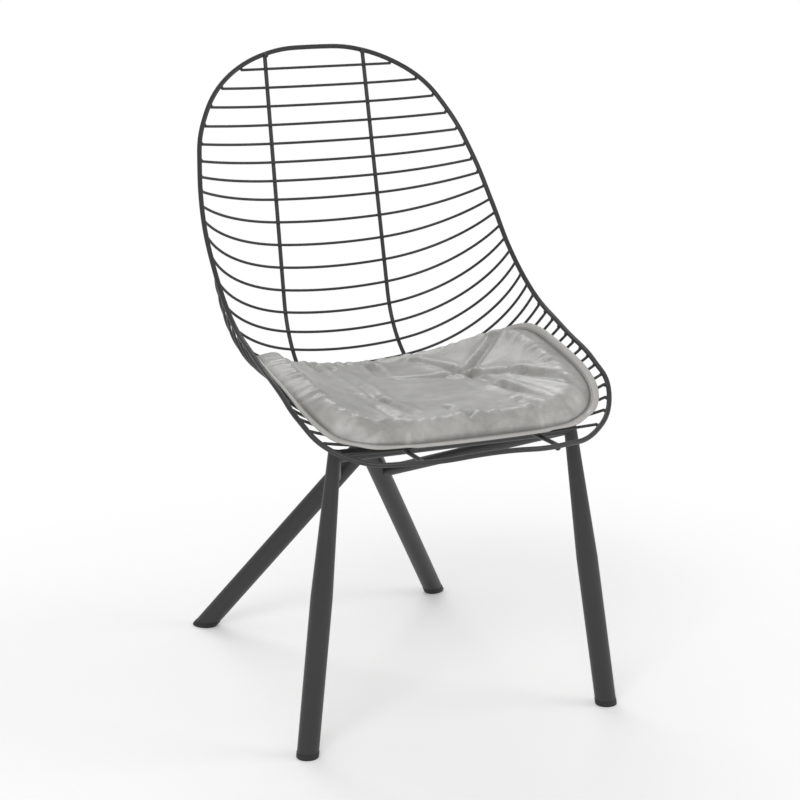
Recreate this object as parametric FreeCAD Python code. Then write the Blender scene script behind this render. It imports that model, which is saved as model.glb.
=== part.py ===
import FreeCAD, Part
import math
import os

os.makedirs("parts", exist_ok=True)
V = FreeCAD.Vector

# Rod and tube sizes, radii in millimetres
RIM_R = 3.5
UPRIGHT_R = 3.0
WIRE_R = 2.0
BAR_R = 8.5
LEG_R = 15.0
WALL = 1.5

# Gaps between pieces
WELD_GAP = 0.05
WIRE_GAP = 0.12
COPE_GAP = 0.25
COPE_REACH = 12.0
PAD_GAP = 0.8

# Half of the rim loop from the middle of its top round the right side to the middle of its front
RIM_POINTS = [
    V(0, 279, 892),
    V(60, 279, 888.5),
    V(115, 269, 871.5),
    V(163, 247, 840.5),
    V(199, 217, 789),
    V(219, 172, 725),
    V(228.5, 130.5, 666),
    V(232, 73, 602),
    V(234.5, 0, 550),
    V(234.8, -98, 516),
    V(233.9, -188, 491),
    V(229.7, -239.6, 468.5),
    V(209.7, -278, 440),
    V(169.5, -312, 421.5),
    V(98, -350, 423),
    V(0, -366, 430),
]

# Uprights: where they meet the rim, and the bend between back and seat
UPRIGHT_TOP_ARC = 79.5
UPRIGHT_FRONT_X = 97.5
UPRIGHT_BEND = V(86, 166, 411)
UPRIGHT_BEND_R = 145.0

# Cross wires: first one's distance down the upright, then each zone's count and its pitch
FIRST_WIRE = 22.8
ZONE_COUNTS = [7, 5, 6, 13]
ZONE_PITCHES = [27.8, 33.9, 31.0, 26.0]

# Cross wires: where their ends meet the rim, as distances along it from the top middle
FIRST_END = 137.0
SECOND_GAP = 44.0
END_GAP = 35.0
END_GAP_STEP = 2.4
LEAST_END_GAP = 22.9
LAST_ENDS = [833.0, 857.0, 881.0, 914.0]
MIDDLE_SLOPE_SHARE = 0.58

# Leg frame
FRONT_FOOT = V(228.9, -260.8, 0)
FRONT_BAR_HALF = 176.0
FRONT_BAR_Y = -233.5
FRONT_TAPER_Z = 220.0
REAR_FOOT = V(198.2, 266.8, 0)
REAR_CROSSING = V(0, 77.8, 324.7)
SIDE_TUBE_REAR = V(36, 112, 265)
REAR_BAR_HALF = 100.0
REAR_BAR_Y = 32.8
CAP_THICK = 2.0
CAP_PLUG = 8.0
BELOW = 30.0

# Floor glides, which stand out a little round the leg
GLIDE_PROUD = 0.5
GLIDE_H = 8.0
GLIDE_EDGE = 1.5
PLUG_H = 22.0
PLUG_LAP = 1.0

# Cushion: stations counted in cross wires, with each one's half width and crown height
PAD_COUNTS = [
    16.30, 16.50, 16.75, 17.15, 17.70, 18.50, 19.60, 21.00, 23.00, 25.00, 27.00, 28.60, 29.80,
    30.80, 31.50, 32.10, 32.50, 33.00,
]
PAD_HALF_WIDTHS = [
    70.0, 112.0, 148.0, 178.0, 200.0, 215.0, 223.0, 226.0, 227.0, 226.5, 225.0, 221.0, 213.0, 200.0,
    184.0, 163.0, 141.0, 106.0,
]
PAD_CROWNS = [
    0.0, 2.0, 10.0, 19.0, 25.0, 28.0, 29.0, 29.0, 29.0, 29.0, 29.0, 28.0, 25.0, 19.0, 11.0, 4.0,
    0.0, 0.0,
]
FLANGE_W = 13.0
FLANGE_T = 4.0
SHOULDER_W = 22.0
SHOULDER_SHARE = 0.72
SHOULDER_BULGE = 0.16
PAD_LAST_COUNT = 31.0
PAD_FLATTEN = 0.45
PAD_FRONT_LIFT = 1.6

# Tufts: surface points on the cushion, and the dimple pressed in there
TUFTS = [(100, -60, 451), (-75, -145, 450)]
TUFT_R = 34.0
TUFT_DEPTH = 7.0


def unit(v):
    return v * (1.0 / v.Length)


def mirrored(v):
    return V(-v.x, v.y, v.z)


# A chain of tangent lines and arcs
class Path:
    def __init__(self, start, direction):
        self.end = start
        self.heading = unit(direction)
        self.segments = []
        self.length = 0.0

    def to(self, target):
        chord = target - self.end
        along = chord.dot(self.heading)
        side = chord - self.heading * along
        if side.Length < 1e-4 * chord.Length:
            self.segments.append((self.end, self.heading, V(0, 0, 0), 0.0, chord.Length))
            edge_length = chord.Length
        else:
            radius = chord.dot(chord) / (2 * side.Length)
            angle = 2 * math.atan2(side.Length, along)
            edge_length = radius * angle
            self.segments.append((self.end, self.heading, unit(side), radius, edge_length))
            self.heading = unit(self.heading * math.cos(angle) + unit(side) * math.sin(angle))
        self.end = target
        self.length += edge_length
        return self

    def find(self, distance):
        for segment in self.segments:
            if distance <= segment[4] or segment is self.segments[-1]:
                return segment, distance
            distance -= segment[4]

    def point(self, distance):
        (start, u, w, radius, _), s = self.find(distance)
        if radius == 0.0:
            return start + u * s
        angle = s / radius
        return start + u * (radius * math.sin(angle)) + w * (radius * (1 - math.cos(angle)))

    def tangent(self, distance):
        (start, u, w, radius, _), s = self.find(distance)
        if radius == 0.0:
            return u
        return u * math.cos(s / radius) + w * math.sin(s / radius)

    def wire(self):
        edges = []
        travelled = 0.0
        for start, _, _, radius, length in self.segments:
            middle = self.point(travelled + length / 2)
            travelled += length
            finish = self.point(travelled)
            if radius == 0.0:
                edges.append(Part.makeLine(start, finish))
            else:
                edges.append(Part.Arc(start, middle, finish).toShape())
        return Part.Wire(edges)


def rod(path, radius):
    ring = Part.Wire(Part.makeCircle(radius, path.point(0), path.tangent(0)))
    return path.wire().makePipeShell([ring], True, False)


# The direction of the circle through three points, at the middle one
def circle_tangent(before, here, after):
    back = here - before
    ahead = after - here
    return unit(back * (ahead.Length / back.Length) + ahead * (back.Length / ahead.Length))


def add_biarc(path, target, heading):
    v = target - path.end
    t = path.heading + heading
    a = 2 * (1 - path.heading.dot(heading))
    if a < 1e-9:
        d = v.dot(v) / (4 * v.dot(heading))
    else:
        d = (-v.dot(t) + math.sqrt(v.dot(t) ** 2 + a * v.dot(v))) / a
    joint = (path.end + path.heading * d + target - heading * d) * 0.5
    path.to(joint)
    path.to(target)


def rim_path(points):
    tangents = [V(1, 0, 0)]
    for i in range(1, len(points) - 1):
        tangents.append(circle_tangent(points[i - 1], points[i], points[i + 1]))
    tangents.append(V(-1, 0, 0))
    path = Path(points[0], tangents[0])
    for point, heading in zip(points[1:], tangents[1:]):
        add_biarc(path, point, heading)
    return path


# The half loop followed by its mirror image, back to the start
def whole_loop(half):
    loop = Path(half.segments[0][0], half.segments[0][1])
    ends = [segment[0] for segment in half.segments[1:]] + [half.end]
    for end in ends + [mirrored(point) for point in reversed(ends[:-1])]:
        loop.to(end)
    return loop.to(half.segments[0][0])


RIM = rim_path(RIM_POINTS)


def main_solid(shape):
    return max(shape.Solids, key=lambda s: s.Volume)


# A rod's end coped to the rim
def cope_to_rim(shape, distance):
    along = RIM.tangent(distance)
    start = RIM.point(distance) - along * COPE_REACH
    cope = Part.makeCylinder(RIM_R + COPE_GAP, 2 * COPE_REACH, start, along)
    return main_solid(shape.cut(cope))


def rim_distance_at_x(x):
    low = RIM.length / 2
    high = RIM.length
    while high - low > 1e-6:
        middle = (low + high) / 2
        if RIM.point(middle).x > x:
            low = middle
        else:
            high = middle
    return low


def tube(start, end, radius):
    axis = end - start
    outer = Part.makeCylinder(radius, axis.Length, start, axis)
    inner = Part.makeCylinder(radius - WALL, axis.Length, start, axis)
    return outer.cut(inner)


# Uprights
UPRIGHT_FRONT_ARC = rim_distance_at_x(UPRIGHT_FRONT_X)


def upright_path():
    top = RIM.point(UPRIGHT_TOP_ARC)
    front = RIM.point(UPRIGHT_FRONT_ARC)
    down = unit(UPRIGHT_BEND - top)
    ahead = unit(front - UPRIGHT_BEND)
    setback = UPRIGHT_BEND_R * math.tan(down.getAngle(ahead) / 2)
    path = Path(top, down)
    path.to(UPRIGHT_BEND - down * setback)
    path.to(UPRIGHT_BEND + ahead * setback)
    path.to(front)
    return path


UPRIGHT = upright_path()


# The direction from the upright to the sitter's side, square to the upright and to the chair's width
def sitter_side(distance):
    along = UPRIGHT.tangent(distance)
    return unit(along.cross(V(1, 0, 0)))


def wire_stations():
    stations = [FIRST_WIRE]
    for count, pitch in zip(ZONE_COUNTS, ZONE_PITCHES):
        for _ in range(count):
            stations.append(stations[-1] + pitch)
    return stations


def wire_ends(count):
    ends = [FIRST_END, FIRST_END + SECOND_GAP]
    while len(ends) < count - len(LAST_ENDS):
        ends.append(ends[-1] + max(LEAST_END_GAP, END_GAP - END_GAP_STEP * (len(ends) - 2)))
    return ends + LAST_ENDS


STATIONS = wire_stations()
ENDS = wire_ends(len(STATIONS))


def between(values, count):
    index = min(max(int(math.floor(count)) - 1, 0), len(values) - 2)
    return values[index] + (values[index + 1] - values[index]) * (count - 1 - index)


# Side arc, middle arc between the uprights and side arc, all in one plane
def arc_path(crossing, end):
    rise = V(0, end.y - crossing.y, end.z - crossing.z)
    up = unit(rise)
    height = rise.Length
    circle_centre = (end.x ** 2 - crossing.x ** 2 + height ** 2) / (2 * height)
    middle_slope = MIDDLE_SLOPE_SHARE * math.atan2(crossing.x, circle_centre)
    chord_slope = math.atan2(height, end.x - crossing.x)
    end_slope = 2 * chord_slope - middle_slope
    path = Path(mirrored(end), V(math.cos(end_slope), 0, 0) - up * math.sin(end_slope))
    path.to(mirrored(crossing))
    path.to(crossing)
    path.to(end)
    return path, up


# A cross wire's centre line. The count may be a fraction, for a line between two wires.
def cross_path(count):
    station = between(STATIONS, count)
    crossing = UPRIGHT.point(station)
    crossing = crossing + sitter_side(station) * (UPRIGHT_R + WIRE_R + WIRE_GAP)
    return arc_path(crossing, RIM.point(between(ENDS, count)))


# The point of an upright's centre line at a given depth, and the bar centre that touches it from below
def upright_distance_at_y(y):
    low = UPRIGHT.length / 3
    high = UPRIGHT.length
    while high - low > 1e-6:
        middle = (low + high) / 2
        if UPRIGHT.point(middle).y > y:
            low = middle
        else:
            high = middle
    return low


def bar_centre(y):
    distance = upright_distance_at_y(y)
    below = sitter_side(distance) * -(UPRIGHT_R + BAR_R + WELD_GAP)
    centre = UPRIGHT.point(distance) + below
    return V(0, centre.y, centre.z)


FRONT_BAR = bar_centre(FRONT_BAR_Y)
REAR_BAR = bar_centre(REAR_BAR_Y)
FRONT_TOP = FRONT_BAR + V(FRONT_BAR_HALF, 0, 0)


# Everything below the given height
def slab(height):
    size = 1200.0
    return Part.makeBox(size, size, size, V(-size / 2, -size / 2, height - size))


def front_leg_body(grow, top_cut):
    axis = unit(FRONT_TOP - FRONT_FOOT)
    straight = FRONT_TAPER_Z / axis.z
    total = (FRONT_TOP - FRONT_FOOT).Length + BAR_R
    shaft = Part.makeCylinder(LEG_R + grow, straight + BELOW, FRONT_FOOT - axis * BELOW, axis)
    knee = FRONT_FOOT + axis * straight
    cone = Part.makeCone(LEG_R + grow, BAR_R + grow, total - straight - top_cut, knee, axis)
    return shaft.fuse(cone).removeSplitter()


def rear_leg_body(grow):
    axis = unit(REAR_CROSSING - REAR_FOOT)
    length = (REAR_BAR.z - REAR_FOOT.z) / axis.z
    return Part.makeCylinder(LEG_R + grow, length + 2 * BELOW, REAR_FOOT - axis * BELOW, axis)


# Floor glide: a cap as thick as the tube end's height, with a plug that fills the tube
def glide(foot, axis):
    start = foot - axis * BELOW
    cap = Part.makeCylinder(LEG_R + GLIDE_PROUD, 3 * BELOW, start, axis)
    cap = cap.common(slab(GLIDE_H)).cut(slab(0))
    floor_edges = [edge for edge in cap.Edges if edge.BoundBox.ZMax < 0.01]
    cap = cap.makeFillet(GLIDE_EDGE, floor_edges)
    plug = Part.makeCylinder(LEG_R - WALL - COPE_GAP, 3 * BELOW, start, axis)
    plug = plug.common(slab(PLUG_H)).cut(slab(GLIDE_H - PLUG_LAP))
    return cap.fuse(plug).removeSplitter()


pieces = {}

# Rim
pieces["rim_rod"] = rod(whole_loop(RIM), RIM_R)

# Uprights
right_upright = rod(UPRIGHT, UPRIGHT_R)
right_upright = cope_to_rim(right_upright, UPRIGHT_TOP_ARC)
right_upright = cope_to_rim(right_upright, UPRIGHT_FRONT_ARC)
pieces["upright_right"] = right_upright
pieces["upright_left"] = right_upright.mirror(V(0, 0, 0), V(1, 0, 0))

# Cross wires, whose flat ends stop just short of the rim
for number in range(1, len(STATIONS) + 1):
    path, _ = cross_path(number)
    lean = abs(path.heading.dot(RIM.tangent(ENDS[number - 1])))
    stop = (RIM_R + COPE_GAP + WIRE_R * lean) / math.sqrt(1 - lean ** 2)
    trimmed = Path(path.point(stop), path.tangent(stop))
    trimmed.to(path.segments[1][0]).to(path.segments[2][0]).to(path.point(path.length - stop))
    pieces["cross_wire_%02d" % number] = rod(trimmed, WIRE_R)

# Front legs
leg = front_leg_body(0, 0).cut(front_leg_body(-WALL, CAP_THICK))
leg = main_solid(leg.cut(slab(GLIDE_H + WELD_GAP)))
pieces["front_leg_right"] = leg

# Front crossbar
front_bar = tube(mirrored(FRONT_TOP), FRONT_TOP, BAR_R)
blocker = front_leg_body(WELD_GAP, -WELD_GAP)
front_bar = front_bar.cut(blocker).cut(blocker.mirror(V(0, 0, 0), V(1, 0, 0)))
pieces["front_crossbar"] = main_solid(front_bar)

# Rear legs: the left one is whole, the right one is coped to it on both sides
bar_end = V(REAR_BAR_HALF, 0, 0)
rear_bar_clear = Part.makeCylinder(BAR_R + WELD_GAP, 2 * REAR_BAR_HALF, REAR_BAR - bar_end, V(1, 0, 0))
right_solid = rear_leg_body(0)
left_solid = right_solid.mirror(V(0, 0, 0), V(1, 0, 0))
left_clear = rear_leg_body(WELD_GAP).mirror(V(0, 0, 0), V(1, 0, 0))
right_bore = rear_leg_body(-WALL)
left_bore = right_bore.mirror(V(0, 0, 0), V(1, 0, 0))
kept = slab(REAR_BAR.z).cut(slab(GLIDE_H + WELD_GAP)).cut(rear_bar_clear)
pieces["rear_leg_left"] = main_solid(left_solid.cut(left_bore).common(kept))
right_halves = right_solid.cut(right_bore).common(kept).cut(left_clear)
halves = sorted(right_halves.Solids, key=lambda s: -s.Volume)
pieces["rear_leg_right_lower"] = halves[0]
pieces["rear_leg_right_upper"] = halves[1]

# Side tubes
side_tube = tube(FRONT_TOP, SIDE_TUBE_REAR, BAR_R)
bar_clear = Part.makeCylinder(BAR_R + WELD_GAP, 2 * FRONT_BAR_HALF, mirrored(FRONT_TOP), V(1, 0, 0))
side_tube = side_tube.cut(blocker).cut(bar_clear).cut(rear_leg_body(WELD_GAP))
pieces["side_tube_right"] = main_solid(side_tube)

# Rear crossbar and its end caps
pieces["rear_crossbar"] = tube(REAR_BAR - bar_end, REAR_BAR + bar_end, BAR_R)
cap_start = REAR_BAR + bar_end + V(WELD_GAP, 0, 0)
cap = Part.makeCylinder(BAR_R, CAP_THICK, cap_start, V(1, 0, 0))
plug_start = cap_start - V(CAP_PLUG, 0, 0)
cap = cap.fuse(Part.makeCylinder(BAR_R - WALL - WELD_GAP, CAP_PLUG, plug_start, V(1, 0, 0)))
pieces["rear_bar_caps"] = Part.makeCompound([cap, cap.mirror(V(0, 0, 0), V(1, 0, 0))])

# Floor glides
pieces["glide_front_right"] = glide(FRONT_FOOT, unit(FRONT_TOP - FRONT_FOOT))
pieces["glide_rear_right"] = glide(REAR_FOOT, unit(REAR_CROSSING - REAR_FOOT))

for name in ("front_leg", "side_tube", "glide_front", "glide_rear"):
    pieces[name + "_left"] = pieces[name + "_right"].mirror(V(0, 0, 0), V(1, 0, 0))


# A line the cushion's section follows: a cross wire's line, flattened ahead of the last full wire
def pad_path(count):
    if count <= PAD_LAST_COUNT:
        return cross_path(count)
    station = between(STATIONS, count)
    crossing = UPRIGHT.point(station)
    crossing = crossing + sitter_side(station) * (UPRIGHT_R + WIRE_R + WIRE_GAP)
    full = RIM.point(between(ENDS, PAD_LAST_COUNT))
    full_crossing = UPRIGHT.point(between(STATIONS, PAD_LAST_COUNT))
    share = 1 - PAD_FLATTEN * (count - PAD_LAST_COUNT)
    rise = (full.z - full_crossing.z - UPRIGHT_R - WIRE_R) * share
    crossing = crossing + V(0, 0, PAD_FRONT_LIFT * min(count - PAD_LAST_COUNT, 1.0))
    end = V(full.x, crossing.y, crossing.z + rise)
    return arc_path(crossing, end)


# A point of a cushion section, a distance along the section's line from its middle and a height over it
def pad_point(path, up, along, height):
    distance = path.length / 2 + along
    heading = path.tangent(distance)
    normal = up * heading.x - V(1, 0, 0) * heading.dot(up)
    return path.point(distance) + normal * height


def arc_between(path, up, start, start_height, end, end_height, bulge):
    middle = (start + end) / 2
    middle_height = (start_height + end_height) / 2 + bulge
    return Part.Arc(
        pad_point(path, up, start, start_height),
        pad_point(path, up, middle, middle_height),
        pad_point(path, up, end, end_height),
    ).toShape()


def along_at_x(path, x):
    low = 0.0
    high = path.length / 2
    while high - low > 1e-6:
        middle = (low + high) / 2
        if path.point(path.length / 2 + middle).x < x:
            low = middle
        else:
            high = middle
    return low


def pad_section(count, half_width, crown):
    path, up = pad_path(count)
    rim = along_at_x(path, half_width)
    split = min(path.segments[1][4] / 2, 0.55 * rim)
    under = WIRE_R + PAD_GAP
    flange = under + FLANGE_T
    seam = rim - FLANGE_W
    shoulder = seam - SHOULDER_W
    top_split = min(split, 0.5 * shoulder)
    high = flange + SHOULDER_SHARE * crown
    low_shoulder = SHOULDER_BULGE * crown
    peak = flange + crown
    corners = [(-rim, under), (-rim, flange), (rim, flange), (rim, under)]
    corner = [pad_point(path, up, a, h) for a, h in corners]
    edges = [
        Part.makeLine(corner[0], corner[1]),
        arc_between(path, up, -rim, flange, -seam, flange, 0),
        arc_between(path, up, -seam, flange, -shoulder, high, low_shoulder),
        arc_between(path, up, -shoulder, high, -top_split, peak, 0.1 * crown),
        arc_between(path, up, -top_split, peak, top_split, peak, 0),
        arc_between(path, up, top_split, peak, shoulder, high, 0.1 * crown),
        arc_between(path, up, shoulder, high, seam, flange, low_shoulder),
        arc_between(path, up, seam, flange, rim, flange, 0),
        Part.makeLine(corner[2], corner[3]),
        arc_between(path, up, rim, under, split, under, 0),
        arc_between(path, up, split, under, -split, under, 0),
        arc_between(path, up, -split, under, -rim, under, 0),
    ]
    return Part.Wire(edges)


# Cushion
sections = [pad_section(*station) for station in zip(PAD_COUNTS, PAD_HALF_WIDTHS, PAD_CROWNS)]
cushion = Part.makeLoft(sections, True, False)
for x, y, z in TUFTS:
    cushion = cushion.cut(Part.makeSphere(TUFT_R, V(x, y, z + TUFT_R - TUFT_DEPTH)))
pieces["seat_cushion"] = main_solid(cushion)

# Row frame: the middle of the footprint on the floor
rim_box = pieces["rim_rod"].optimalBoundingBox(False)
glide_box = pieces["glide_rear_right"].optimalBoundingBox(False)
shift = V(0, -(rim_box.YMin + max(rim_box.YMax, glide_box.YMax)) / 2, 0)
for name in sorted(pieces):
    piece = pieces[name].copy()
    piece.translate(shift)
    piece.exportStep("parts/%s.step" % name)
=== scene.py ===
import bpy
import bmesh
import math
import numpy as np
from mathutils import Matrix, Vector
from mathutils.bvhtree import BVHTree


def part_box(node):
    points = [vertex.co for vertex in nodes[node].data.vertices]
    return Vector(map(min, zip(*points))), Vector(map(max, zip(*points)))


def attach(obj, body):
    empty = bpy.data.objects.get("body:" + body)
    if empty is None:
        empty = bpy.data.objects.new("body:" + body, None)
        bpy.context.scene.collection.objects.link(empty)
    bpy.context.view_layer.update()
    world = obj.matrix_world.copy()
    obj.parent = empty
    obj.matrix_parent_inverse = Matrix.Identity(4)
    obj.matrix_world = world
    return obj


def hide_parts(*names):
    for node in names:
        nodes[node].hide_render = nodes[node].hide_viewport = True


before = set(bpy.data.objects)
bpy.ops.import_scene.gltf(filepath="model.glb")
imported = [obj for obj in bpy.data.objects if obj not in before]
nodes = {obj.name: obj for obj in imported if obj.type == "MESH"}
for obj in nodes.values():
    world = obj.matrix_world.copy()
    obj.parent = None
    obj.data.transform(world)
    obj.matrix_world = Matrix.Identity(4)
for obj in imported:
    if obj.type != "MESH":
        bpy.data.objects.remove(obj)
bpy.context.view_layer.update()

# Outer rim, the rod that closes the whole shell: 7 mm steel rod bent to one loop and
# butt welded, then powder coated satin black together with everything welded to it.


class Tone:
    """A value inside a finish. Its operators add the Math nodes."""

    def __init__(self, finish, socket):
        self.finish = finish
        self.socket = socket

    def _math(self, operation, first, second=0.0):
        return self.finish.tone("ShaderNodeMath", {"operation": operation}, {0: first, 1: second})

    def __add__(self, other):
        return self._math("ADD", self, other)

    __radd__ = __add__

    def __mul__(self, other):
        return self._math("MULTIPLY", self, other)

    __rmul__ = __mul__

    def __sub__(self, other):
        return self._math("SUBTRACT", self, other)

    def __rsub__(self, other):
        return self._math("SUBTRACT", other, self)

    def __pow__(self, other):
        return self._math("POWER", self, other)

    def clamped(self):
        return self.finish.tone("ShaderNodeClamp", {}, {"Value": self})

    def ramp(self, low, high):
        settings = {"interpolation_type": "SMOOTHSTEP"}
        return self.finish.tone("ShaderNodeMapRange", settings, {"Value": self, "From Min": low, "From Max": high})


class Finish:
    """A surface finish: one material with its shader and the nodes that feed it."""

    def __init__(self, name, **constants):
        self.material = bpy.data.materials.new(name)
        self.material.use_nodes = True
        self.tree = self.material.node_tree
        self.shader = self.tree.nodes["Principled BSDF"]
        for key, value in constants.items():
            self.shader.inputs[key.replace("_", " ")].default_value = value
        self.place = self.node("ShaderNodeTexCoord", {}, {}).outputs["Object"]

    def node(self, kind, settings, values):
        made = self.tree.nodes.new(kind)
        for key, value in settings.items():
            if key == "stops":
                ramp = made.color_ramp
                ramp.elements[0].position, ramp.elements[0].color = value[0]
                ramp.elements[1].position, ramp.elements[1].color = value[-1]
                for position, colour in value[1:-1]:
                    ramp.elements.new(position).color = colour
            else:
                setattr(made, key, value)
        for key, value in values.items():
            socket = made.inputs[key]
            if isinstance(value, Tone):
                value = value.socket
            if isinstance(value, bpy.types.NodeSocket):
                self.tree.links.new(value, socket)
            else:
                socket.default_value = value
        return made

    def tone(self, kind, settings, values, output=0):
        return Tone(self, self.node(kind, settings, values).outputs[output])

    def noise(self, scale, detail=4.0, roughness=0.5, distortion=0.0, place=None):
        values = {"Vector": place or self.place, "Scale": scale, "Detail": detail}
        values.update({"Roughness": roughness, "Distortion": distortion})
        return self.tone("ShaderNodeTexNoise", {}, values)

    def mix(self, factor, first, second):
        values = {"Factor": factor, 6: first, 7: second}
        return self.node("ShaderNodeMix", {"data_type": "RGBA"}, values).outputs[2]

    def feed(self, **links):
        for key, value in links.items():
            socket = value.socket if isinstance(value, Tone) else value
            self.tree.links.new(socket, self.shader.inputs[key.replace("_", " ")])

    def bump(self, height, strength, distance):
        values = {"Height": height, "Strength": strength, "Distance": distance}
        self.feed(Normal=self.node("ShaderNodeBump", {}, values).outputs["Normal"])


def powder_coat(name, shade, roughness):
    coat = Finish(name, Specular_IOR_Level=0.45)
    cloud = coat.noise(9.0, 3.0)
    pebble = coat.noise(750.0, 2.0, 0.6)
    dust = coat.noise(160.0, 5.0, 0.7).ramp(0.58, 0.8)
    dark = (shade * 0.82, shade * 0.82, shade * 0.84, 1)
    light = (shade * 1.2, shade * 1.2, shade * 1.2, 1)
    grey = (shade * 2.2, shade * 2.2, shade * 2.15, 1)
    coat.feed(Base_Color=coat.mix(dust * 0.35, coat.mix(cloud, dark, light), grey))
    coat.feed(Roughness=cloud * 0.12 + pebble * 0.08 + (roughness - 0.1))
    coat.bump(pebble, 0.35, 0.00025)
    return coat.material


rod_coat = powder_coat("rod_coat", 0.03, 0.42)


def dress(node, material):
    """Gives a CAD node a finish."""
    mesh = nodes[node].data
    mesh.materials.clear()
    mesh.materials.append(material)


dress("rim_rod", rod_coat)

# Uprights and cross wires: two bent 6 mm rods from the top of the rim under the seat to its
# front, and 32 shallow U-shaped 4 mm wires laid across them on the sitter's side.
for name in nodes:
    if name.startswith(("upright", "cross_wire")):
        dress(name, rod_coat)

# Leg frame: tapered front legs, two rear legs that cross under the seat, side tubes and
# two crossbars, all steel tube cut to fit and welded, coated with the rods.
tube_coat = powder_coat("tube_coat", 0.028, 0.46)
for name in nodes:
    if name.startswith(("front_leg", "rear_leg", "side_tube", "front_crossbar", "rear_crossbar")):
        dress(name, tube_coat)

# Weld beads: a small fused bead where each wire meets the rim and each upright, and a larger
# one where the uprights meet the rim. They are MIG spots, coated over with the frame.


def surface(node):
    mesh = nodes[node].data
    return BVHTree.FromPolygons([v.co for v in mesh.vertices], [tuple(f.vertices) for f in mesh.polygons])


def meeting(first, second, start):
    """The middle of the gap between two rods, found by stepping from one to the other."""
    here = Vector(start)
    for _ in range(25):
        there = second.find_nearest(here)[0]
        here = first.find_nearest(there)[0]
    return (here + there) / 2


def end_vertex(node, side):
    return max((v.co for v in nodes[node].data.vertices), key=lambda co: co.x * side)


class Repeat:
    """A Geometry Nodes tree that sets one small shape on every point of a path or cloud."""

    def __init__(self, name, sockets):
        self.tree = bpy.data.node_groups.new(name, "GeometryNodeTree")
        for label, kind, direction in sockets:
            self.tree.interface.new_socket(label, in_out=direction, socket_type=kind)
        self.inputs = self.tree.nodes.new("NodeGroupInput").outputs
        self.output = self.tree.nodes.new("NodeGroupOutput").inputs[0]

    def node(self, kind, settings, values):
        made = self.tree.nodes.new(kind)
        for key, value in settings.items():
            setattr(made, key, value)
        for key, value in values.items():
            if isinstance(value, bpy.types.NodeSocket):
                self.tree.links.new(value, made.inputs[key])
            else:
                made.inputs[key].default_value = value
        return made.outputs

    def finish(self, instances, material):
        real = self.node("GeometryNodeRealizeInstances", {}, {"Geometry": instances})[0]
        self.tree.links.new(self.node("GeometryNodeSetMaterial", {}, {"Geometry": real, "Material": material})[0], self.output)

    def grow(self, name, mesh, **chosen):
        """Runs the tree on a mesh and gives the result as a plain object."""
        carrier = bpy.data.objects.new(name + "_carrier", mesh)
        bpy.context.scene.collection.objects.link(carrier)
        modifier = carrier.modifiers.new("repeat", "NODES")
        modifier.node_group = self.tree
        for item in self.tree.interface.items_tree:
            if item.in_out == "INPUT" and item.name in chosen:
                modifier[item.identifier] = chosen[item.name]
        graph = bpy.context.evaluated_depsgraph_get()
        result = bpy.data.meshes.new_from_object(carrier.evaluated_get(graph))
        bpy.data.objects.remove(carrier)
        result.name = name
        result.polygons.foreach_set("use_smooth", [True] * len(result.polygons))
        made = bpy.data.objects.new(name, result)
        bpy.context.scene.collection.objects.link(made)
        return made


beads = Repeat("beads", [
    ("Geometry", "NodeSocketGeometry", "INPUT"),
    ("Radius", "NodeSocketFloat", "INPUT"),
    ("Unevenness", "NodeSocketFloat", "INPUT"),
    ("Seed", "NodeSocketInt", "INPUT"),
    ("Finish", "NodeSocketMaterial", "INPUT"),
    ("Geometry", "NodeSocketGeometry", "OUTPUT"),
])
grain = beads.node("GeometryNodeMeshUVSphere", {}, {"Segments": 14, "Rings": 9, "Radius": beads.inputs["Radius"]})[0]
least = beads.node("ShaderNodeMath", {"operation": "SUBTRACT"}, {0: 1.0, 1: beads.inputs["Unevenness"]})[0]
most = beads.node("ShaderNodeMath", {"operation": "ADD"}, {0: 1.0, 1: beads.inputs["Unevenness"]})[0]
spread = beads.node("FunctionNodeRandomValue", {"data_type": "FLOAT"}, {2: least, 3: most, "Seed": beads.inputs["Seed"]})
size = beads.node("GeometryNodeInputNamedAttribute", {"data_type": "FLOAT"}, {"Name": "size"})[0]
scale = beads.node("ShaderNodeMath", {"operation": "MULTIPLY"}, {0: spread[1], 1: size})[0]
cloud = beads.node("GeometryNodeMeshToPoints", {}, {"Mesh": beads.inputs["Geometry"]})[0]
placed = beads.node("GeometryNodeInstanceOnPoints", {}, {"Points": cloud, "Instance": grain, "Scale": scale})[0]
beads.finish(placed, beads.inputs["Finish"])

rim_surface = surface("rim_rod")
upright_surface = {side: surface("upright_" + side) for side in ("left", "right")}
bead_points = []
bead_sizes = []
for node in sorted(nodes):
    if node.startswith("cross_wire"):
        own = surface(node)
        for side, sign in (("left", -1), ("right", 1)):
            end = end_vertex(node, sign)
            bead_points.append(meeting(own, rim_surface, end))
            bead_sizes.append(1.0)
            middle = Vector((sign * 0.0918, end.y, end.z))
            bead_points.append(meeting(own, upright_surface[side], own.find_nearest(middle)[0]))
            bead_sizes.append(0.95)
for side in ("left", "right"):
    high_end = max((v.co for v in nodes["upright_" + side].data.vertices), key=lambda co: co.z)
    front_end = min((v.co for v in nodes["upright_" + side].data.vertices), key=lambda co: co.y)
    for end in (high_end, front_end):
        bead_points.append(meeting(upright_surface[side], rim_surface, end))
        bead_sizes.append(1.55)
spots = bpy.data.meshes.new("weld_spots")
spots.from_pydata([tuple(p) for p in bead_points], [], [])
spots.attributes.new("size", "FLOAT", "POINT").data.foreach_set("value", bead_sizes)
welds = beads.grow("weld_beads", spots, Radius=0.0026, Unevenness=0.12, Seed=5, Finish=rod_coat)
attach(welds, "frame")

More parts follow.
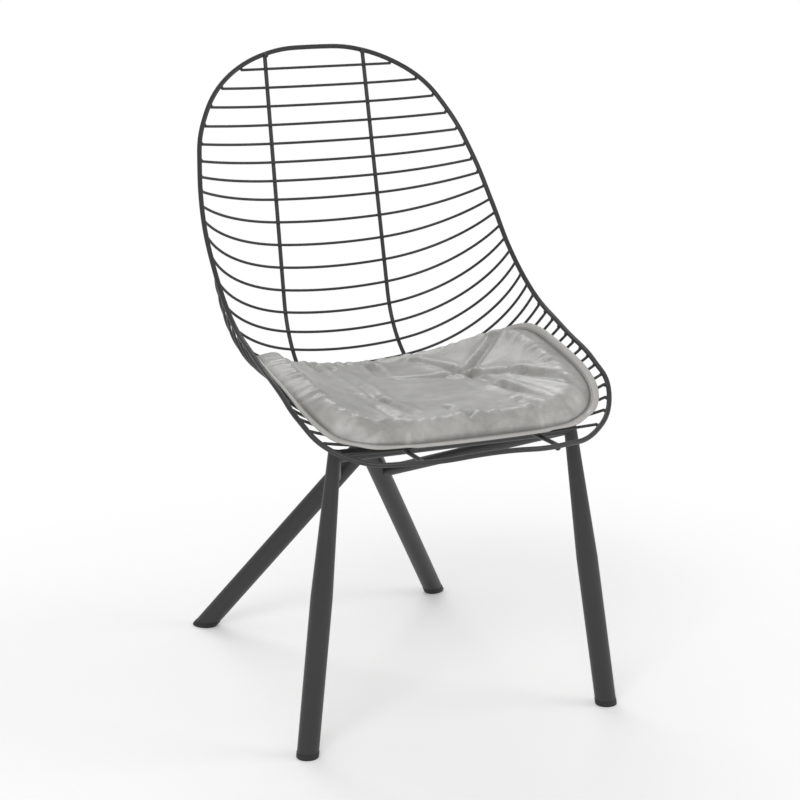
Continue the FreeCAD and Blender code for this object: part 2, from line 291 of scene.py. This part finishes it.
# Floor glides and bar caps: black moulded polyethylene plugs pushed into the tube ends.
glide_plastic = Finish("glide_plastic", Specular_IOR_Level=0.35)
plastic_cloud = glide_plastic.noise(60.0, 3.0)
plastic_grain = glide_plastic.noise(1800.0, 2.0, 0.7)
glide_plastic.feed(Base_Color=glide_plastic.mix(plastic_cloud, (0.018, 0.018, 0.019, 1), (0.032, 0.032, 0.033, 1)))
glide_plastic.feed(Roughness=plastic_grain * 0.15 + 0.5)
glide_plastic.bump(plastic_grain, 0.4, 0.0002)
for name in nodes:
    if name.startswith(("glide", "rear_bar_caps")):
        dress(name, glide_plastic.material)

# Seat cushion: a foam and fibre filled pad in pale grey faux leather. A puffed top panel
# with two tufts is sewn to a flat border, which is topstitched beside the seam.
pad_mesh = nodes["seat_cushion"].data
pad_verts = [v.co.copy() for v in pad_mesh.vertices]
pad_faces = [tuple(p.vertices) for p in pad_mesh.polygons]
pad_tree = BVHTree.FromPolygons(pad_verts, pad_faces)
low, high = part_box("seat_cushion")
centre = Vector((0.0, (low[1] + high[1]) / 2 - 0.02, 0.0))
FLANGE_WIDTH = 0.013
FLANGE_THICK = 0.004
BASE_LIFT = 0.0006
UP = Vector((0, 0, 1))


def underside(x, y):
    """The CAD cushion's underside above a point of the floor."""
    hit = pad_tree.ray_cast(Vector((x, y, low[2] - 0.05)), UP)[0]
    return hit


def reach(angle):
    """How far the cushion's edge lies from its centre in one direction, seen from above."""
    inside, outside = 0.05, 0.30
    for _ in range(22):
        middle = (inside + outside) / 2
        if underside(centre.x + middle * math.cos(angle), centre.y + middle * math.sin(angle)):
            inside = middle
        else:
            outside = middle
    return inside - 0.0008


SPOKES = 480
STEPS = 90
spoke_line = []
for i in range(SPOKES):
    angle = 2 * math.pi * i / SPOKES
    spoke_line.append(reach(angle))
smooth_reach = np.array(spoke_line)
for _ in range(6):
    smooth_reach = (np.roll(smooth_reach, 1) + smooth_reach + np.roll(smooth_reach, -1)) / 3
smooth_reach = np.minimum(smooth_reach, np.array(spoke_line))

sheet = np.zeros((SPOKES, STEPS + 1, 3))
for i in range(SPOKES):
    angle = 2 * math.pi * i / SPOKES
    for j in range(STEPS + 1):
        r = smooth_reach[i] * j / STEPS
        hit = underside(centre.x + r * math.cos(angle), centre.y + r * math.sin(angle))
        sheet[i, j] = hit if hit else (centre.x + r * math.cos(angle), centre.y + r * math.sin(angle), sheet[i, j - 1, 2])
step_length = np.linalg.norm(np.diff(sheet, axis=1), axis=2)
spoke_length = np.concatenate([np.zeros((SPOKES, 1)), np.cumsum(step_length, axis=1)], axis=1)
edge_slope = np.roll(sheet, -1, axis=0) - np.roll(sheet, 1, axis=0)
out_slope = np.gradient(sheet, axis=1)
sheet_normal = np.cross(out_slope, edge_slope)
sheet_normal[:, 0] = (0, 0, 1)
sheet_normal /= np.linalg.norm(sheet_normal, axis=2)[:, :, None]
for _ in range(4):
    sheet_normal = (np.roll(sheet_normal, 1, axis=0) + sheet_normal + np.roll(sheet_normal, -1, axis=0)) / 3
    sheet_normal /= np.linalg.norm(sheet_normal, axis=2)[:, :, None]


def on_sheet(angle, from_edge=None, share=None):
    """Point and normal of the sheet the pad lies on, by distance in from the edge or share of the way out."""
    turn = (angle / (2 * math.pi)) % 1.0 * SPOKES
    first = int(turn) % SPOKES
    second = (first + 1) % SPOKES
    blend = turn - int(turn)
    found = []
    for spoke in (first, second):
        full = spoke_length[spoke, -1]
        want = full - from_edge if from_edge is not None else share * (full - FLANGE_WIDTH)
        place = np.interp(want, spoke_length[spoke], np.arange(STEPS + 1))
        j = min(int(place), STEPS - 1)
        k = place - j
        point = sheet[spoke, j] * (1 - k) + sheet[spoke, j + 1] * k
        normal = sheet_normal[spoke, j] * (1 - k) + sheet_normal[spoke, j + 1] * k
        found.append((point, normal))
    point = found[0][0] * (1 - blend) + found[1][0] * blend
    normal = found[0][1] * (1 - blend) + found[1][1] * blend
    return point, normal / np.linalg.norm(normal)


# The puffed panel's own sewing: tufts and the folds that run out from them, as floor points.
TUFTS = [((0.100, -0.017), 0.019), ((-0.075, -0.102), 0.013)]
FOLDS = [
    ((0.100, -0.017), (0.150, -0.100), 0.009),
    ((0.150, -0.100), (0.190, -0.205), 0.008),
    ((0.100, -0.017), (0.108, -0.120), 0.006),
    ((0.108, -0.120), (0.125, -0.212), 0.010),
    ((0.100, -0.017), (0.190, 0.030), 0.007),
    ((0.100, -0.017), (0.072, 0.095), 0.010),
    ((0.100, -0.017), (0.000, 0.010), 0.005),
    ((-0.075, -0.102), (-0.068, 0.095), 0.007),
    ((-0.075, -0.102), (-0.072, -0.210), 0.010),
    ((-0.075, -0.102), (-0.150, -0.060), 0.004),
    ((0.000, 0.100), (-0.010, 0.040), 0.008),
    ((-0.100, 0.105), (-0.105, 0.040), 0.008),
    ((-0.003, -0.240), (-0.006, -0.185), 0.009),
    ((0.100, -0.240), (0.094, -0.200), 0.008),
    ((-0.100, -0.215), (-0.108, -0.165), 0.006),
]
CROWN = 0.0285
SHOULDER = 0.026


def crown_height(angle, share, x, y, full):
    from_seam = (1 - share) * full
    rise = 1 - (1 - min(from_seam / SHOULDER, 1.0)) ** 2.2
    height = CROWN * rise
    for (tx, ty), depth in TUFTS:
        away = math.hypot(x - tx, y - ty)
        height -= depth * math.exp(-(away / 0.022) ** 1.3) * rise
    for (ax, ay), (bx, by), depth in FOLDS:
        dx, dy = bx - ax, by - ay
        along = ((x - ax) * dx + (y - ay) * dy) / (dx * dx + dy * dy)
        nearest = min(max(along, 0.0), 1.0)
        away = math.hypot(x - ax - dx * nearest, y - ay - dy * nearest)
        height -= depth * math.exp(-(away / 0.0065) ** 2) * (1 - 0.45 * nearest) * rise
        height += 0.35 * depth * math.exp(-((away - 0.014) / 0.009) ** 2) * (1 - 0.5 * nearest) * rise
    gathers = math.sin(angle * 61 + 2.0 * math.sin(angle * 7)) * math.sin(angle * 11 + 1.0)
    height += 0.0022 * gathers * math.exp(-((from_seam - 0.018) / 0.014) ** 2)
    return height


GRID = 96
top_points = []
pinned = []
for i in range(GRID + 1):
    for j in range(GRID + 1):
        a = 2 * i / GRID - 1
        b = 2 * j / GRID - 1
        u = a * math.sqrt(1 - b * b / 2)
        v = b * math.sqrt(1 - a * a / 2)
        share = min(math.hypot(u, v), 1.0)
        angle = math.atan2(v, u)
        point, normal = on_sheet(angle, share=share)
        turn = int(round((angle / (2 * math.pi)) % 1.0 * SPOKES)) % SPOKES
        full = spoke_length[turn, -1] - FLANGE_WIDTH
        height = FLANGE_THICK + BASE_LIFT + crown_height(angle, share, point[0], point[1], full)
        top_points.append(point + normal * height)
        edge = i in (0, GRID) or j in (0, GRID)
        tuft = any(math.hypot(point[0] - tx, point[1] - ty) < 0.005 for (tx, ty), _ in TUFTS)
        pinned.append(edge or tuft)
top_points = np.array(top_points)
pinned = np.array(pinned)
top_faces = []
for i in range(GRID):
    for j in range(GRID):
        corner = i * (GRID + 1) + j
        top_faces.append((corner, corner + GRID + 1, corner + GRID + 2, corner + 1))

# The closed pad: panel, seam groove, flat border with a rounded edge, and the base.
verts = [tuple(p) for p in top_points]
faces = list(top_faces)
# The seam mask marks the seam groove, where painted shade darkens the leather's colour.
seam_shade_mask = [0.0] * len(verts)
border_value = [0.0] * len(verts)
ring = [(i, 0) for i in range(GRID)] + [(GRID, j) for j in range(GRID)]
ring += [(i, GRID) for i in range(GRID, 0, -1)] + [(0, j) for j in range(GRID, 0, -1)]
ring_index = [i * (GRID + 1) + j for i, j in ring]
ring_angle = []
for i, j in ring:
    a = 2 * i / GRID - 1
    b = 2 * j / GRID - 1
    ring_angle.append(math.atan2(b * math.sqrt(1 - a * a / 2), a * math.sqrt(1 - b * b / 2)))
for index in ring_index:
    seam_shade_mask[index] = 1.0
# Border rings: distance in from the edge, height, weight of the painted shade in the seam groove, weight of the paler
# border tone.
BORDER = [
    (0.0122, 0.0030, 1.0, 0.3),
    (0.0116, 0.0034, 0.6, 1.0),
    (0.0106, 0.0040, 0.0, 1.0),
    (0.0070, 0.0042, 0.0, 1.0),
    (0.0030, 0.0041, 0.0, 1.0),
    (0.0012, 0.0036, 0.0, 1.0),
    (0.0004, 0.0024, 0.0, 1.0),
    (0.0006, 0.0010, 0.0, 1.0),
    (0.0018, 0.0002, 0.0, 1.0),
    (0.0060, 0.0000, 0.0, 1.0),
]
previous = ring_index
for from_edge, height, seam, border in BORDER:
    current = []
    for angle in ring_angle:
        point, normal = on_sheet(angle, from_edge=from_edge)
        current.append(len(verts))
        verts.append(tuple(point + normal * (height + BASE_LIFT)))
        seam_shade_mask.append(seam)
        border_value.append(border)
    for k in range(len(current)):
        n = (k + 1) % len(current)
        faces.append((previous[k], current[k], current[n], previous[n]))
    previous = current
for share in (0.93, 0.82, 0.68, 0.5, 0.32, 0.16, 0.06):
    current = []
    for angle in ring_angle:
        point, normal = on_sheet(angle, share=share)
        current.append(len(verts))
        verts.append(tuple(point + normal * BASE_LIFT))
        seam_shade_mask.append(0.0)
        border_value.append(1.0)
    for k in range(len(current)):
        n = (k + 1) % len(current)
        faces.append((previous[k], current[k], current[n], previous[n]))
    previous = current
point, normal = on_sheet(0.0, share=0.0)
pole = len(verts)
verts.append(tuple(point + normal * BASE_LIFT))
seam_shade_mask.append(0.0)
border_value.append(1.0)
for k in range(len(previous)):
    n = (k + 1) % len(previous)
    faces.append((previous[k], pole, previous[n]))

pad = bpy.data.meshes.new("cushion_pad")
pad.from_pydata(verts, [], faces)
for label, values in (("seam", seam_shade_mask), ("border", border_value)):
    attribute = pad.attributes.new(label, "FLOAT", "POINT")
    attribute.data.foreach_set("value", values)
work = bmesh.new()
work.from_mesh(pad)
bmesh.ops.recalc_face_normals(work, faces=work.faces)
work.to_mesh(pad)
work.free()
pad.polygons.foreach_set("use_smooth", [True] * len(pad.polygons))
cushion = bpy.data.objects.new("cushion_pad", pad)
bpy.context.scene.collection.objects.link(cushion)
rounding = cushion.modifiers.new("rounding", "SUBSURF")
rounding.levels = 1
rounding.render_levels = 1

leather = Finish("cushion_leather", Specular_IOR_Level=0.6, Coat_Roughness=0.2, Coat_Weight=0.35)
seam_shade = leather.tone("ShaderNodeAttribute", {"attribute_name": "seam"}, {}, "Fac")
border_tone = leather.tone("ShaderNodeAttribute", {"attribute_name": "border"}, {}, "Fac")
blotch = leather.noise(14.0, 6.0, 0.62, 0.6)
smear = leather.noise(45.0, 5.0, 0.6, 1.2)
pore = leather.tone("ShaderNodeTexVoronoi", {"feature": "DISTANCE_TO_EDGE"}, {"Vector": leather.place, "Scale": 620.0})
crease = leather.noise(210.0, 6.0, 0.7, 0.8)
pale = (0.46, 0.455, 0.435, 1)
deep = (0.30, 0.295, 0.28, 1)
edge_pale = (0.50, 0.485, 0.46, 1)
body = leather.mix((blotch * 0.65 + smear * 0.35).ramp(0.36, 0.66), deep, pale)
body = leather.mix(border_tone * 0.7, body, edge_pale)
# Painted shade: the seam groove's colour is pulled most of the way to near black.
leather.feed(Base_Color=leather.mix(seam_shade * 0.75, body, (0.10, 0.095, 0.085, 1)))
leather.feed(Roughness=(smear * 0.24 + 0.2 + crease * 0.1).clamped())
leather.bump(pore.ramp(0.0, 0.25) * 0.4 + crease * 0.9 + smear * 1.2, 0.35, 0.0006)
pad.materials.append(leather.material)

# Topstitching: a tone thread run round the border beside the seam, 4.5 mm to the stitch.
thread = Finish("stitch_thread", Specular_IOR_Level=0.3)
thread_twist = thread.noise(900.0, 3.0)
thread.feed(Base_Color=thread.mix(thread_twist, (0.20, 0.195, 0.18, 1), (0.38, 0.37, 0.345, 1)))
thread.feed(Roughness=thread_twist * 0.2 + 0.6)
thread.bump(thread_twist, 0.5, 0.0002)
sewing = Repeat("sewing", [
    ("Geometry", "NodeSocketGeometry", "INPUT"),
    ("Pitch", "NodeSocketFloat", "INPUT"),
    ("Stitch", "NodeSocketVector", "INPUT"),
    ("Finish", "NodeSocketMaterial", "INPUT"),
    ("Geometry", "NodeSocketGeometry", "OUTPUT"),
])
line = sewing.node("GeometryNodeMeshToCurve", {}, {"Mesh": sewing.inputs["Geometry"]})[0]
line = sewing.node("GeometryNodeCurveToPoints", {"mode": "LENGTH"}, {"Curve": line, "Length": sewing.inputs["Pitch"]})
bar = sewing.node("GeometryNodeMeshUVSphere", {}, {"Segments": 8, "Rings": 6, "Radius": 0.5})[0]
along = sewing.node("FunctionNodeAlignRotationToVector", {"axis": "X"}, {"Vector": line["Tangent"]})[0]
sewn = sewing.node("GeometryNodeInstanceOnPoints", {}, {
    "Points": line["Points"], "Instance": bar, "Rotation": along, "Scale": sewing.inputs["Stitch"]})[0]
sewing.finish(sewn, sewing.inputs["Finish"])
route = []
for angle in ring_angle:
    point, normal = on_sheet(angle, from_edge=0.0094)
    route.append(tuple(point + normal * (0.0043 + BASE_LIFT)))
seam_route = bpy.data.meshes.new("seam_route")
seam_route.from_pydata(route, [(k, (k + 1) % len(route)) for k in range(len(route))], [])
stitches = sewing.grow("stitches", seam_route, Pitch=0.0045, Stitch=(0.0033, 0.0009, 0.0009), Finish=thread.material)
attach(stitches, "cushion")

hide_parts("seat_cushion")
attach(cushion, "cushion")

# Photo studio: a flat white floor that fades to a plain white glow far off, one broad soft lamp from the left front, a
# fill from the right and a strip from above and behind for the tubes' highlights.
floor_mesh = bpy.data.meshes.new("floor")
floor_mesh.from_pydata([(-6, -6, 0), (6, -6, 0), (6, 6, 0), (-6, 6, 0)], [], [(0, 1, 2, 3)])
floor = bpy.data.objects.new("floor", floor_mesh)
bpy.context.scene.collection.objects.link(floor)
paper = Finish("studio_paper", Roughness=0.9, Specular_IOR_Level=0.1)
paper.feed(Base_Color=paper.mix(paper.noise(3.0, 2.0), (0.93, 0.93, 0.93, 1), (0.95, 0.95, 0.95, 1)))
paper.shader.inputs["Emission Color"].default_value = (1, 1, 1, 1)
paper.shader.inputs["Emission Strength"].default_value = 0.12
distance = paper.tone("ShaderNodeVectorMath", {"operation": "LENGTH"}, {0: paper.place}, "Value")
glow = paper.node("ShaderNodeEmission", {}, {"Color": (1, 1, 1, 1), "Strength": 1.0}).outputs[0]
fade = distance.ramp(0.45, 1.15).socket
blend = paper.node("ShaderNodeMixShader", {}, {0: fade, 1: paper.shader.outputs[0], 2: glow}).outputs[0]
paper.tree.links.new(blend, paper.tree.nodes["Material Output"].inputs[0])
floor_mesh.materials.append(paper.material)


def lamp(name, place, target, size, power):
    light = bpy.data.lights.new(name, "AREA")
    light.shape = "RECTANGLE"
    light.size, light.size_y = size
    light.energy = power
    holder = bpy.data.objects.new(name, light)
    direction = Vector(target) - Vector(place)
    holder.matrix_world = Matrix.Translation(place) @ direction.to_track_quat("-Z", "Y").to_matrix().to_4x4()
    bpy.context.scene.collection.objects.link(holder)


lamp("key", (-1.8, -2.4, 2.6), (0, 0, 0.45), (1.8, 1.4), 38)
lamp("fill", (2.6, -1.6, 1.7), (0, 0, 0.4), (1.6, 1.6), 18)
lamp("back", (0.3, 2.4, 2.4), (0, 0, 0.5), (2.4, 0.8), 26)

world = bpy.data.worlds.new("studio")
bpy.context.scene.world = world
world.use_nodes = True
ray = world.node_tree.nodes.new("ShaderNodeLightPath")
either = world.node_tree.nodes.new("ShaderNodeMath")
either.operation = "MAXIMUM"
world.node_tree.links.new(ray.outputs["Is Camera Ray"], either.inputs[0])
world.node_tree.links.new(ray.outputs["Is Transmission Ray"], either.inputs[1])
soft = world.node_tree.nodes["Background"]
soft.inputs["Color"].default_value = (1, 1, 1, 1)
soft.inputs["Strength"].default_value = 0.55
bright = world.node_tree.nodes.new("ShaderNodeBackground")
bright.inputs["Color"].default_value = (1, 1, 1, 1)
bright.inputs["Strength"].default_value = 1.0
choose = world.node_tree.nodes.new("ShaderNodeMixShader")
world.node_tree.links.new(either.outputs[0], choose.inputs[0])
world.node_tree.links.new(soft.outputs[0], choose.inputs[1])
world.node_tree.links.new(bright.outputs[0], choose.inputs[2])
world.node_tree.links.new(choose.outputs[0], world.node_tree.nodes["World Output"].inputs[0])

# Camera, as the photograph was taken: from the chair's left front, a little above seat height.
AZIMUTH = math.radians(-23.55)
ELEVATION = math.radians(15.02)
FOCAL_PIXELS = 2153.4
PICTURE = 800.0
camera_data = bpy.data.cameras.new("camera")
camera_data.sensor_width = 36.0
camera_data.lens = FOCAL_PIXELS / PICTURE * camera_data.sensor_width
camera_data.shift_x = 0.36 / PICTURE
camera_data.shift_y = 0.27 / PICTURE
camera = bpy.data.objects.new("camera", camera_data)
right = Vector((math.cos(AZIMUTH), math.sin(AZIMUTH), 0))
back = Vector((math.sin(AZIMUTH) * math.cos(ELEVATION), -math.cos(AZIMUTH) * math.cos(ELEVATION), math.sin(ELEVATION)))
turn = Matrix((right, back.cross(right), back)).transposed().to_4x4()
camera.matrix_world = Matrix.Translation((-1.1866, -2.7692 + 0.04294, 1.2179)) @ turn
bpy.context.scene.collection.objects.link(camera)
bpy.context.scene.camera = camera
bpy.context.scene.view_settings.view_transform = "Standard"
